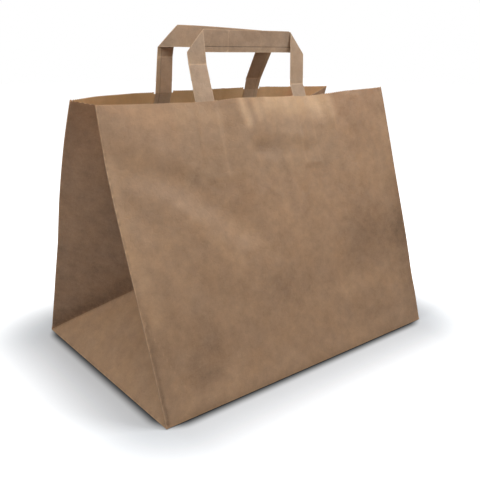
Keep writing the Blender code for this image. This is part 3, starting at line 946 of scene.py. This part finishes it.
def bar_point(side, s, t):
    """A point of the bar, which bows between its two opened folds: s along it and t up its width."""
    inner_edge = half_span - half_tape
    left, from_left, left_up = opened_corner(side, LEFT)
    right, from_right, right_up = opened_corner(side, RIGHT)
    to_left = (half_span + s)[:, None]
    to_right = (half_span - s)[:, None]
    up = t[:, None]
    near_left = left + from_left * to_left + left_up * up
    near_right = right + from_right * to_right + right_up * up
    start = left + from_left * half_tape
    finish = right + from_right * half_tape
    length = np.linalg.norm(finish - start)
    u = ((s / inner_edge + 1) / 2)[:, None]
    level_left, level_right = (unit(way * [1, 1, 0]) for way in (from_left, from_right))
    centre = cubic(start, level_left * length, finish, -level_right * length, u)
    between = centre + unit(blend(left_up, right_up, u)) * up
    point = choose(s < -inner_edge, near_left, between)
    return choose(s > inner_edge, near_right, point)


def handle_point(side, s, t):
    """A point of the handle, from the straight tape: s from the middle of the bar, t up across the tape."""
    end = np.where(s > 0, RIGHT, LEFT)
    from_corner = np.stack([np.abs(s) - half_span, t], -1)
    normal = np.array([1, 1]) / math.sqrt(2)
    past = from_corner @ normal + math.pi * fold_radius / 2
    foot = from_corner - normal * past[:, None]
    angle = np.clip(past / fold_radius, 0, math.pi)
    wrapped = foot + normal * (fold_radius * np.sin(angle))[:, None]
    beyond = foot - normal * (past - math.pi * fold_radius)[:, None]
    place = choose(past >= math.pi * fold_radius, beyond, wrapped)
    inward = fold_radius * (1 + np.cos(angle))
    drop = half_tape - place[:, 1]
    left = leg_point(side, LEFT, -place[:, 0], drop, inward)
    right = leg_point(side, RIGHT, place[:, 0], drop, inward)
    leg = choose(end > 0, right, left)
    return choose(past <= 0, bar_point(side, s, t), leg)


def tape_place(drop):
    """Place along the straight tape, from the middle of the bar, of a point on a leg."""
    return half_span - half_tape + drop


def tape_fold_distance(side, s, t):
    """Distance on the straight tape from the nearest fold, worn crease or long edge."""
    slanting = np.abs(np.abs(s) + t - half_span) / math.sqrt(2)
    near = [slanting, half_tape - np.abs(t)]
    near += [np.abs(s - place) for place in BAR_CREASES[side]]
    near += [np.abs(s - end * tape_place(LEGS[side, end].upper)) for end in ENDS]
    return np.minimum.reduce(near)


def make_handle(name, side):
    mouths = {end: LEGS[side, end].lower + LEGS[side, end].upper for end in ENDS}
    left = tape_place(mouths[LEFT] + GLUED_LENGTH)
    right = tape_place(mouths[RIGHT] + GLUED_LENGTH)
    columns = even_lines(-left, right, round((left + right) / TAPE_PITCH))
    tape = flat_sheet(name, columns, even_lines(-half_tape, half_tape, TAPE_ROWS))
    glued_low = mouth_level - GLUED_LENGTH
    lines = []
    for end in ENDS:
        crease = LEGS[side, end].upper
        drops = [0, TAPE_WIDTH, crease - CREASE_EASE, crease, crease + CREASE_EASE, mouths[end]]
        drops += [mouths[end] + mouth_level - row for row in rows if glued_low < row < mouth_level]
        lines += [column_at(end * tape_place(drop)) for drop in drops]
        for step in range(FOLD_STEPS + 1):
            past = fold_radius * math.pi * (step / FOLD_STEPS - 0.5)
            lines.append(((end * (half_span + past * math.sqrt(2)), 0, 0), (end, 1, 0)))
    lines += [row_at(place - half_tape) for place in (TAPE_LAP, TAPE_LAP + STEP_WIDTH / 2)]
    cut(tape, lines)
    s, t = keep_flat_place(tape)
    lapped = t > TAPE_LAP + STEP_WIDTH / 4 - half_tape
    set_values(tape, "plies", np.where(lapped, TAPE_PLIES, TAPE_PLIES - 1))
    set_values(tape, "fold", tape_fold_distance(side, s, t))
    set_values(tape, "lap", np.abs(t - TAPE_LAP + half_tape))
    # Painted shade on the front bar, doubled near its right fold, and painted light on the glued ends
    near_fold = fade((s - BAR_SHADE_START) / BAR_SHADE_RUN)
    on_bar = np.abs(s) + t < half_span
    painted_light_and_tone = np.where(on_bar, BAR_PAINTED_SHADE[side] * (1 + near_fold), 0)
    below_mouth = np.abs(s) > tape_place(np.where(s > 0, mouths[RIGHT], mouths[LEFT]))
    set_values(tape, "painted_light_and_tone", painted_light_and_tone + GLUED_PAINTED_LIGHT * below_mouth)
    write_points(tape, handle_point(side, s, t))
    if side == BACK:
        flip(tape)
    thicken(tape, TAPE_PLIES, TAPE)
    set_inner_face(tape, "lap", len(s), TAPE_WIDTH)
    return tape


def patch_offset(side, x):
    """How far the patch stands off the panel: it climbs over the two tape ends."""
    over_tape = GLUE_GAP + TAPE + GLUE_GAP
    from_leg = np.minimum(*(np.abs(x - leg_x(side, end)) for end in ENDS))
    beside = from_leg - half_tape - PATCH_MARGIN
    return blend(GLUE_GAP, over_tape, np.clip(1 - beside / PATCH_RAMP, 0, 1))


def make_patch(name, side):
    left = HANDLE_CENTRE[side] - PATCH_WIDTH / 2
    patch = flat_sheet(name, [left, left + PATCH_WIDTH], [PATCH_LOW, HEIGHT - PATCH_DROP[side]])
    lines = [column_at(column) for column in panel_columns if abs(column) < PATCH_WIDTH]
    lines += [row_at(row) for row in rows]
    for end in ENDS:
        for reach in (half_tape + PATCH_MARGIN, half_tape + PATCH_MARGIN + PATCH_RAMP):
            lines += [column_at(leg_x(side, end) + edge) for edge in (-reach, reach)]
    cut(patch, lines)
    x, v = keep_flat_place(patch)
    set_values(patch, "plies", np.ones(len(x)))
    set_values(patch, "fold", np.full(len(x), UP_PITCH))
    write_points(patch, inside_point(side, x, v, patch_offset(side, x)))
    if side == FRONT:
        flip(patch)
    thicken(patch, 1, WALL)
    return patch


# Materials

def new_group(name, numbers, outputs):
    """A shader node group from a place and numbers to numbers, with its input and output nodes."""
    group = bpy.data.node_groups.new(name, "ShaderNodeTree")
    group.interface.new_socket(name="Place", in_out="INPUT", socket_type="NodeSocketVector")
    for label, value in numbers.items():
        socket = group.interface.new_socket(name=label, in_out="INPUT", socket_type="NodeSocketFloat")
        socket.default_value = value
    for label in outputs:
        group.interface.new_socket(name=label, in_out="OUTPUT", socket_type="NodeSocketFloat")
    return group, group.nodes.new("NodeGroupInput"), group.nodes.new("NodeGroupOutput")


def add_math(tree, operation, first, second=None):
    node = tree.nodes.new("ShaderNodeMath")
    node.operation = operation
    for place, value in enumerate((first, second)):
        if value is None:
            continue
        if isinstance(value, bpy.types.NodeSocket):
            tree.links.new(value, node.inputs[place])
        else:
            node.inputs[place].default_value = value
    return node.outputs[0]


def set_inputs(node, values):
    for name, value in values.items():
        node.inputs[name].default_value = value


def add_noise(tree, place, name):
    """One of the paper's noises, from 0 to 1."""
    stretch, scale, detail, roughness = NOISES[name]
    mapping = tree.nodes.new("ShaderNodeMapping")
    set_inputs(mapping, {"Scale": stretch})
    tree.links.new(place, mapping.inputs["Vector"])
    noise = tree.nodes.new("ShaderNodeTexNoise")
    set_inputs(noise, {"Scale": scale, "Detail": detail, "Roughness": roughness})
    tree.links.new(mapping.outputs["Vector"], noise.inputs["Vector"])
    return noise.outputs["Fac"]


def add_weighted(tree, values, shares):
    """Sum of two values, each times its share."""
    first, second = (add_math(tree, "MULTIPLY", *pair) for pair in zip(values, shares))
    return add_math(tree, "ADD", first, second)


def add_scale(tree, noise, amount):
    """How far a noise is from its middle, times an amount."""
    return add_math(tree, "MULTIPLY", add_math(tree, "SUBTRACT", noise, 0.5), amount)


def kraft_fibre_group():
    """Cloudy pulp, fibres and flecks of kraft: a shade round 1, a share of grey and a height."""
    group, inputs, outputs = new_group(
        "kraft_fibre",
        {"Cloud": 1.0, "Fibre": 0.36, "Fleck": 0.18, "Crumple": 2.2},
        ("Shade", "Grey", "Height"))
    place = inputs.outputs["Place"]
    broad, cloud, fibre, cross_fibre, speckle, grey, crumple = (
        add_noise(group, place, name)
        for name in ("broad", "cloud", "fibre", "cross_fibre", "speckle", "grey", "crumple"))
    pulp = add_weighted(group, (broad, cloud), PULP_SHARES)
    threads = add_weighted(group, (fibre, cross_fibre), THREAD_SHARES)
    shade = add_math(group, "ADD", 1.0, add_scale(group, pulp, inputs.outputs["Cloud"]))
    shade = add_math(group, "ADD", shade, add_scale(group, threads, inputs.outputs["Fibre"]))
    flecks = (("SUBTRACT", "GREATER_THAN", DARK_FLECK), ("ADD", "LESS_THAN", PALE_FLECK))
    for operation, test, limit in flecks:
        fleck = add_math(group, test, speckle, limit)
        shade = add_math(group, operation, shade, add_math(group, "MULTIPLY", fleck, inputs.outputs["Fleck"]))
    group.links.new(shade, outputs.inputs["Shade"])
    group.links.new(grey, outputs.inputs["Grey"])
    from_middle = add_math(group, "ABSOLUTE", add_math(group, "SUBTRACT", crumple, 0.5))
    valley = add_math(group, "DIVIDE", from_middle, VALLEY)
    valley.node.use_clamp = True
    height = add_math(group, "ADD", threads, add_math(group, "MULTIPLY", valley, inputs.outputs["Crumple"]))
    group.links.new(height, outputs.inputs["Height"])
    return group


def paper_line_group():
    """Masks of the thin lines on folded paper: 1 on a worn fold, and 1 at a lap's edge, where a shadow is
    painted.
    """
    group, inputs, outputs = new_group(
        "paper_line",
        {"Fold Distance": 1.0, "Lap Distance": 1.0, "Fold Width": 0.0009, "Lap Width": 0.0006},
        ("Fold", "Lap"))
    wear = add_noise(group, inputs.outputs["Place"], "wear")
    least, more = FOLD_WEAR
    patchy = add_math(group, "ADD", least, add_math(group, "MULTIPLY", wear, more))
    for kind, strength in (("Fold", patchy), ("Lap", 1.0)):
        near = add_math(group, "DIVIDE", inputs.outputs[kind + " Distance"], inputs.outputs[kind + " Width"])
        mask = add_math(group, "SUBTRACT", 1.0, near)
        mask.node.use_clamp = True
        group.links.new(add_math(group, "MULTIPLY", mask, strength), outputs.inputs[kind])
    return group


def stored(tree, name):
    """A number that was stored at the points of a sheet."""
    node = tree.nodes.new("ShaderNodeAttribute")
    node.attribute_name = name
    return node.outputs["Fac"]


def kraft_material(name, colour, fold_light, lap_painted_shadow=0.0):
    """Kraft paper of one colour, paler along its worn folds, with its stored tone and painted light and shade
    added.
    """
    material = bpy.data.materials.new(name)
    material.use_nodes = True
    tree = material.node_tree
    shader = tree.nodes["Principled BSDF"]
    set_inputs(shader, {
        "Roughness": PAPER_ROUGHNESS, "Specular IOR Level": PAPER_SHINE,
        "Subsurface Weight": THIN_PAPER, "Subsurface Radius": GLOW_SPREAD, "Subsurface Scale": GLOW_REACH})
    paper_map = tree.nodes.new("ShaderNodeUVMap")
    paper_map.uv_map = "paper"
    fibre = tree.nodes.new("ShaderNodeGroup")
    fibre.node_tree = fibre_group
    lines = tree.nodes.new("ShaderNodeGroup")
    lines.node_tree = line_group
    for group in (fibre, lines):
        tree.links.new(paper_map.outputs["UV"], group.inputs["Place"])
    tree.links.new(stored(tree, "fold"), lines.inputs["Fold Distance"])
    shade = add_math(tree, "ADD", fibre.outputs["Shade"],
                     add_math(tree, "MULTIPLY", lines.outputs["Fold"], fold_light))
    # Add the stored painted light and shade, with the paper's own tone
    shade = add_math(tree, "ADD", shade, stored(tree, "painted_light_and_tone"))
    if lap_painted_shadow:
        # Painted shadow along the edge of the tape's lap
        tree.links.new(stored(tree, "lap"), lines.inputs["Lap Distance"])
        shade = add_math(tree, "SUBTRACT", shade, add_math(tree, "MULTIPLY", lines.outputs["Lap"], lap_painted_shadow))
    greyer = tree.nodes.new("ShaderNodeMix")
    greyer.data_type = "RGBA"
    even_grey = sum(colour) / 3
    greyed = (blend(part, even_grey, GREYING) for part in colour)
    set_inputs(greyer, {"A": (*colour, 1), "B": (*greyed, 1)})
    tree.links.new(fibre.outputs["Grey"], greyer.inputs["Factor"])
    tint = tree.nodes.new("ShaderNodeVectorMath")
    tint.operation = "SCALE"
    tree.links.new(greyer.outputs["Result"], tint.inputs[0])
    tree.links.new(shade, tint.inputs["Scale"])
    tree.links.new(tint.outputs["Vector"], shader.inputs["Base Color"])
    bump = tree.nodes.new("ShaderNodeBump")
    set_inputs(bump, {"Strength": BUMP_STRENGTH, "Distance": BUMP_DEPTH})
    tree.links.new(fibre.outputs["Height"], bump.inputs["Height"])
    tree.links.new(bump.outputs["Normal"], shader.inputs["Normal"])
    return material


# Studio

def add_ramp(tree, value, reach, ends):
    """A smooth ramp from one end to the other, over a reach of the value."""
    ramp = tree.nodes.new("ShaderNodeMapRange")
    ramp.interpolation_type = "SMOOTHSTEP"
    set_inputs(ramp, dict(zip(("From Min", "From Max", "To Min", "To Max"), (*reach, *ends))))
    tree.links.new(value, ramp.inputs["Value"])
    return ramp.outputs["Result"]


def make_floor():
    """A pale floor that reads as white away from the bag and keeps its shadow."""
    bpy.ops.mesh.primitive_plane_add(size=FLOOR_SIZE, location=(0, 0, -FLOOR_GAP))
    floor = bpy.context.object
    floor.name = "floor"
    material = bpy.data.materials.new("white_floor")
    material.use_nodes = True
    tree = material.node_tree
    shader = tree.nodes["Principled BSDF"]
    set_inputs(shader, {"Roughness": 0.9, "Specular IOR Level": 0.0, "Emission Color": (1, 1, 1, 1)})
    away = tree.nodes.new("ShaderNodeTexCoord").outputs["Object"]
    foot = (WIDTH / 2 - FOOT_INSET, DEPTH / 2 - FOOT_INSET, 0)
    steps = (("ABSOLUTE", None), ("SUBTRACT", foot), ("MAXIMUM", (0, 0, 0)), ("LENGTH", None))
    for operation, other in steps:
        step = tree.nodes.new("ShaderNodeVectorMath")
        step.operation = operation
        tree.links.new(away, step.inputs[0])
        if other:
            step.inputs[1].default_value = other
        away = step.outputs["Value" if operation == "LENGTH" else "Vector"]
    colour = tree.nodes.new("ShaderNodeVectorMath")
    colour.operation = "SCALE"
    colour.inputs[0].default_value = FLOOR_COLOUR
    # Painted contact shadow: the floor's colour darkens close to the bag's foot
    tree.links.new(add_ramp(tree, away, CONTACT_REACH, CONTACT_SHADE), colour.inputs["Scale"])
    tree.links.new(colour.outputs["Vector"], shader.inputs["Base Color"])
    path = tree.nodes.new("ShaderNodeLightPath")
    lift = add_ramp(tree, away, LIFT_REACH, FLOOR_LIFT)
    seen = add_math(tree, "MULTIPLY", path.outputs["Is Camera Ray"], lift)
    tree.links.new(seen, shader.inputs["Emission Strength"])
    floor.data.materials.append(material)


def add_softbox(name, place, size, power):
    lamp = bpy.data.lights.new(name, "AREA")
    lamp.shape = "SQUARE"
    lamp.size = size
    lamp.energy = power
    box = bpy.data.objects.new(name, lamp)
    bpy.context.scene.collection.objects.link(box)
    box.location = place
    box.rotation_mode = "QUATERNION"
    box.rotation_quaternion = (Vector(LIGHT_AIM) - Vector(place)).to_track_quat("-Z", "Y")


def light_scene():
    world = bpy.data.worlds.new("studio")
    bpy.context.scene.world = world
    world.use_nodes = True
    tree = world.node_tree
    background = tree.nodes["Background"]
    path = tree.nodes.new("ShaderNodeLightPath")
    seen = add_math(tree, "MULTIPLY", path.outputs["Is Camera Ray"], 1 - ROOM_LIGHT)
    background.inputs["Color"].default_value = (1, 1, 1, 1)
    tree.links.new(add_math(tree, "ADD", ROOM_LIGHT, seen), background.inputs["Strength"])
    for name, place, size, power in SOFTBOXES:
        add_softbox(name, place, size, power)
    bpy.context.scene.view_settings.view_transform = "Standard"


def make_camera():
    """The camera stands low at the front left and looks a little down."""
    camera = bpy.data.cameras.new("camera")
    camera.sensor_width = SENSOR
    camera.lens = SENSOR * FOCAL_PIXELS / FRAME_PIXELS
    camera.clip_start = 0.01
    holder = bpy.data.objects.new("camera", camera)
    bpy.context.scene.collection.objects.link(holder)
    holder.location = CAMERA_PLACE
    yaw, pitch, roll = (math.radians(angle) for angle in CAMERA_TURN)
    forward = Vector((math.sin(yaw) * math.cos(pitch), math.cos(yaw) * math.cos(pitch), -math.sin(pitch)))
    holder.rotation_mode = "QUATERNION"
    holder.rotation_quaternion = forward.to_track_quat("-Z", "Y") @ Quaternion((0, 0, 1), roll)
    bpy.context.scene.camera = holder


fibre_group = kraft_fibre_group()
line_group = paper_line_group()
bag_kraft = kraft_material("bag_kraft", BAG_COLOUR, BAG_FOLD_LIGHT)
tape_kraft = kraft_material("tape_kraft", TAPE_COLOUR, TAPE_FOLD_LIGHT, LAP_PAINTED_SHADOW)
patch_kraft = kraft_material("patch_kraft", BAG_COLOUR, 0.0)

bag = make_body()
bag.data.materials.clear()
bag.data.materials.append(bag_kraft)
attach(bag, "root")
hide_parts("bag_body")
for label, which in (("front", FRONT), ("back", BACK)):
    handle = make_handle(label + "_tape_handle", which)
    handle.data.materials.append(tape_kraft)
    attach(handle, "root")
    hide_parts(label + "_handle")
    patch = make_patch(label + "_glued_patch", which)
    patch.data.materials.append(patch_kraft)
    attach(patch, "root")
    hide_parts(label + "_handle_patch")

make_floor()
light_scene()
make_camera()
